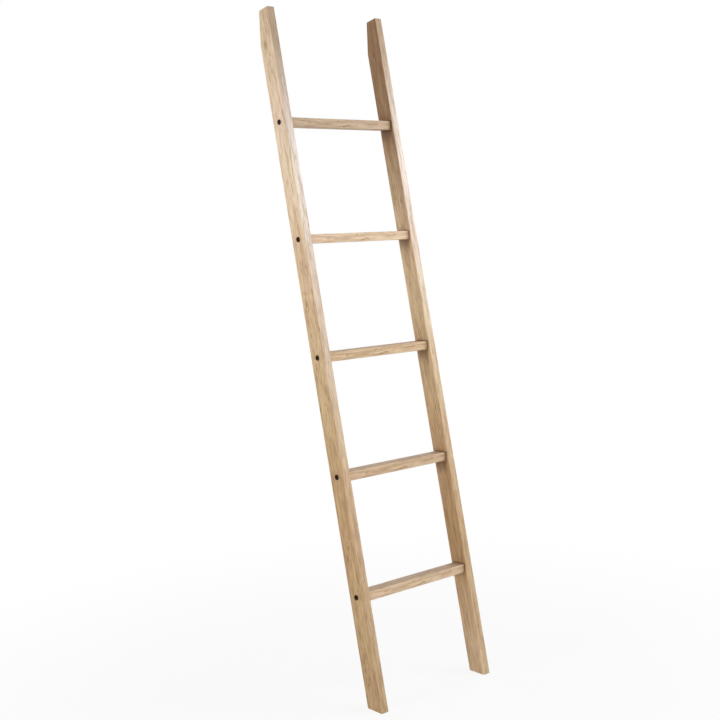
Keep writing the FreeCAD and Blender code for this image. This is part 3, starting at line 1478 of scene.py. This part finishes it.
LEFT_CUT = Cut(
    seed=3.7,
    pith=(-0.262, 0.030),
    knots=(
        Knot(-0.196, 0.032, 1.738, 0.009, 0.50),
        Knot(-0.196, 0.037, 1.052, 0.006, 0.38),
        Knot(-0.196, 0.013, 0.832, 0.009, 0.30),
        Knot(-0.196, 0.027, 0.421, 0.005, 0.48),
        Knot(-0.196, 0.030, 0.145, 0.006, 0.45),
        Knot(-0.196, 0.034, 0.072, 0.005, 0.42),
    ),
    # The sides' drift is the oak's tone with painted light in it, brightest where the lamps fall.
    sides=Drift(
        foot=srgb(204, 170, 128),
        low=srgb(207, 173, 129),
        middle=srgb(204, 175, 139),
        upper=srgb(211, 190, 166),
        top=srgb(202, 177, 148),
        upper_at=0.84,
    ),
    # The front's pale band high up is a painted sheen, and its darker top a painted fall-off of the light.
    front=Drift(
        foot=srgb(180, 153, 119),
        low=srgb(196, 168, 137),
        middle=srgb(208, 187, 166),
        upper=srgb(231, 218, 208),
        top=srgb(171, 145, 119),
        low_at=0.32,
        middle_at=0.56,
        upper_at=0.79,
        top_at=0.95,
    ),
)

RIGHT_CUT = Cut(
    seed=11.3,
    pith=(0.205, -0.07),
    knots=(Knot(0.174, 0.030, 1.735, 0.006, 0.5),),
    # The sides grow darker high up as painted shade.
    sides=Drift(
        foot=srgb(222, 192, 156),
        low=srgb(187, 147, 104),
        middle=srgb(216, 180, 138),
        upper=srgb(236, 205, 167),
        top=srgb(172, 134, 96),
        low_at=0.20,
        middle_at=0.40,
        upper_at=0.69,
        top_at=0.82,
    ),
    # The front's pale band high up is a painted sheen, and its darker top a painted fall-off of the light.
    front=Drift(
        foot=srgb(201, 176, 142),
        low=srgb(192, 163, 127),
        middle=srgb(206, 181, 151),
        upper=srgb(231, 218, 206),
        top=srgb(177, 151, 124),
        low_at=0.22,
        middle_at=0.48,
        upper_at=0.77,
        top_at=0.97,
    ),
)


@dataclass
class Ladder:
    """The whole ladder, with the tones of its rungs from the lowest up, which carry painted light and
    shade.
    """

    plan: Plan
    # The rungs' fronts differ from rung to rung partly as painted light.
    rung_fronts: tuple[Colour, ...] = (
        srgb(207, 180, 152),
        srgb(199, 171, 142),
        srgb(202, 174, 143),
        srgb(211, 185, 158),
        srgb(184, 159, 133),
    )
    # The rungs' other faces are a darker, shaded copy of the fronts: painted shade.
    rung_sides: Colour = srgb(178, 152, 125)
    rung_ring_width: float = 0.0045
    rung_pith_across: tuple[float, float, float] = (0.055, 0.067, 0.079)
    rung_pith_deep: tuple[float, float] = (0.02, 0.05)
    rung_seed: float = 20.0
    rung_seed_step: float = 4.1

    def stile_oak(self, side: Side) -> Oak:
        """Choose the oak of one stile.

        Args:
            side: The stile's side.

        Returns:
            Its oak.
        """
        cut = LEFT_CUT if side is Side.LEFT else RIGHT_CUT
        return Oak(
            name=f"{side.word}_stile_oak",
            origin=self.plan.front_foot,
            turn=Euler((-self.plan.lean, 0.0, 0.0)),
            start=0.0,
            end=self.plan.stile_length,
            seed=cut.seed,
            sides=cut.sides,
            front=cut.front,
            rings=Rings(cut.pith),
            knots=cut.knots,
            # Painted shade and shadow where the rungs meet the stile.
            joints=Joints(self.plan, side),
        )

    def rung_oak(self, number: int) -> Oak:
        """Choose the oak of one rung, each from its own place in the log.

        Args:
            number: The rung's number.

        Returns:
            Its oak.
        """
        low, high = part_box(f"rung_{number}")
        reach = (high.x - low.x) / 2
        pith = (self.rung_pith_across[number % 3], self.rung_pith_deep[number % 2])
        return Oak(
            name=f"rung_{number}_oak",
            origin=(low + high) / 2,
            turn=Euler((0.0, math.pi / 2, 0.0)),
            start=-reach,
            end=reach,
            seed=self.rung_seed + self.rung_seed_step * number,
            sides=Drift.even(self.rung_sides),
            front=Drift.even(self.rung_fronts[number - 1]),
            rings=Rings(pith, self.rung_ring_width),
        )

    def build(self, nodes: dict[str, bpy.types.Object]) -> None:
        """Make and dress every piece.

        Args:
            nodes: The frame's nodes, by name.
        """
        for side in Side:
            report(Stile(self.plan, side, self.stile_oak(side)).build())
        for number in self.plan.rung_numbers:
            report(Rung(self.plan, number, self.rung_oak(number)).build())
        bronze = Bronze().material()
        zinc = Zinc().material()
        for side in Side:
            for number in self.plan.rung_numbers:
                report(Bolt(side, number, bronze).build())
                report(Insert(side, number, zinc).dress(nodes))


def report(piece: bpy.types.Object) -> None:
    """Say what a finished piece is made of."""
    LOG.info("%s: %d faces", piece.name, len(piece.data.polygons))


# The studio


@dataclass(frozen=True)
class Lamp:
    """A soft square lamp that faces the ladder's middle.

    Its bearing is in degrees from straight in front of the ladder, towards its left. It stands a distance
    away and a height up, and aims at another height. Its power is in watts.
    """

    name: str
    bearing: float
    distance: float
    up: float
    aim: float
    size: float
    power: float

    def hang(self) -> None:
        """Put the lamp in the scene."""
        angle = math.radians(self.bearing)
        place = Vector((-self.distance * math.sin(angle), -self.distance * math.cos(angle), self.up))
        target = Vector((0.0, 0.0, self.aim))
        light = bpy.data.lights.new(self.name, "AREA")
        light.shape = "SQUARE"
        light.size = self.size
        light.energy = self.power
        lamp = bpy.data.objects.new(self.name, light)
        lamp.location = place
        lamp.rotation_euler = (target - place).to_track_quat("-Z", "Y").to_euler()
        bpy.context.scene.collection.objects.link(lamp)


LAMPS = (
    Lamp("left", bearing=95.0, distance=1.3, up=1.5, aim=1.4, size=0.4, power=9.4),
    Lamp("low", bearing=30.0, distance=1.4, up=0.4, aim=0.6, size=0.9, power=6.3),
    Lamp("near", bearing=-20.0, distance=1.0, up=1.4, aim=1.4, size=0.5, power=2.7),
    Lamp("high", bearing=-45.0, distance=2.6, up=2.6, aim=1.4, size=2.2, power=58.0),
    Lamp("behind", bearing=180.0, distance=2.8, up=1.3, aim=1.0, size=1.8, power=26.0),
    Lamp("right", bearing=-110.0, distance=2.4, up=1.4, aim=1.0, size=1.4, power=12.0),
)


@dataclass(frozen=True)
class Studio:
    """The camera, the pale floor, the white surround and the lamps."""

    eye: Vector = Vector((-2.08916, -2.39507, 1.20797))
    yaw: float = math.radians(40.262)
    pitch: float = math.radians(-6.094)
    roll: float = math.radians(-2.209)
    focal_length: float = 59.94
    sensor: float = 36.0
    sees_as_far_as: float = 200.0
    surround: float = 0.17
    floor_size: float = 60.0
    floor_colour: Colour = (0.80, 0.80, 0.80, 1.0)
    floor_glow: float = 0.88
    floor_fade: Span = (0.35, 1.7)

    def set_up(self) -> None:
        """Make everything but the ladder."""
        self.place_camera()
        self.light_surround()
        self.lay_floor()
        for lamp in LAMPS:
            lamp.hang()
        bpy.context.scene.view_settings.view_transform = "Standard"

    def place_camera(self) -> None:
        """Stand the camera where the photograph was taken from."""
        ahead = Vector(
            (
                math.sin(self.yaw) * math.cos(self.pitch),
                math.cos(self.yaw) * math.cos(self.pitch),
                math.sin(self.pitch),
            )
        )
        level = Vector((math.cos(self.yaw), -math.sin(self.yaw), 0.0))
        above = level.cross(ahead)
        right = level * math.cos(self.roll) + above * math.sin(self.roll)
        up = above * math.cos(self.roll) - level * math.sin(self.roll)
        turn = Matrix((right, up, -ahead)).transposed()
        data = bpy.data.cameras.new("camera")
        data.lens = self.focal_length
        data.sensor_width = self.sensor
        data.clip_end = self.sees_as_far_as
        camera = bpy.data.objects.new("camera", data)
        camera.matrix_world = Matrix.Translation(self.eye) @ turn.to_4x4()
        bpy.context.scene.collection.objects.link(camera)
        bpy.context.scene.camera = camera

    def light_surround(self) -> None:
        """Light the ladder evenly from all round, and show plain white behind it."""
        world = bpy.data.worlds.new("surround")
        world.use_nodes = True
        bpy.context.scene.world = world
        nodes = Nodes(world.node_tree)
        light = nodes.add("ShaderNodeBackground", {}, {0: WHITE, 1: self.surround}).out()
        white = nodes.add("ShaderNodeBackground", {}, {0: WHITE, 1: 1.0}).out()
        shown = nodes.add("ShaderNodeMixShader", {}, {0: nodes.background_rays(), 1: light, 2: white})
        nodes.add("ShaderNodeOutputWorld", {}, {0: shown.out()})

    def lay_floor(self) -> None:
        """Lay a pale floor that shows the ladder's shadow and fades to white further out."""
        bm = bmesh.new()
        bmesh.ops.create_grid(bm, x_segments=1, y_segments=1, size=self.floor_size / 2)
        floor = new_object(bm, "floor")
        material, nodes = new_material("pale_floor")
        away = nodes.add("ShaderNodeVectorMath", {"operation": "LENGTH"}, {0: nodes.place()}).wire("Value")
        glowing = self.floor_glow + away.rise(*self.floor_fade) * (1.0 - self.floor_glow)
        matt = nodes.add("ShaderNodeBsdfDiffuse", {}, {0: self.floor_colour}).out()
        glow = nodes.add("ShaderNodeEmission", {}, {0: WHITE, 1: 1.0}).out()
        factor = nodes.background_rays() * glowing
        shown = nodes.add("ShaderNodeMixShader", {}, {0: factor, 1: matt, 2: glow}).out()
        nodes.add("ShaderNodeOutputMaterial", {}, {0: shown})
        floor.data.materials.append(material)


def main() -> None:
    """Load the frame, dress the ladder and set up the studio."""
    logging.basicConfig(level=logging.INFO, format="%(message)s")
    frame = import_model()
    Ladder(Plan()).build(frame["nodes"])
    Studio().set_up()


if __name__ == "__main__":
    main()
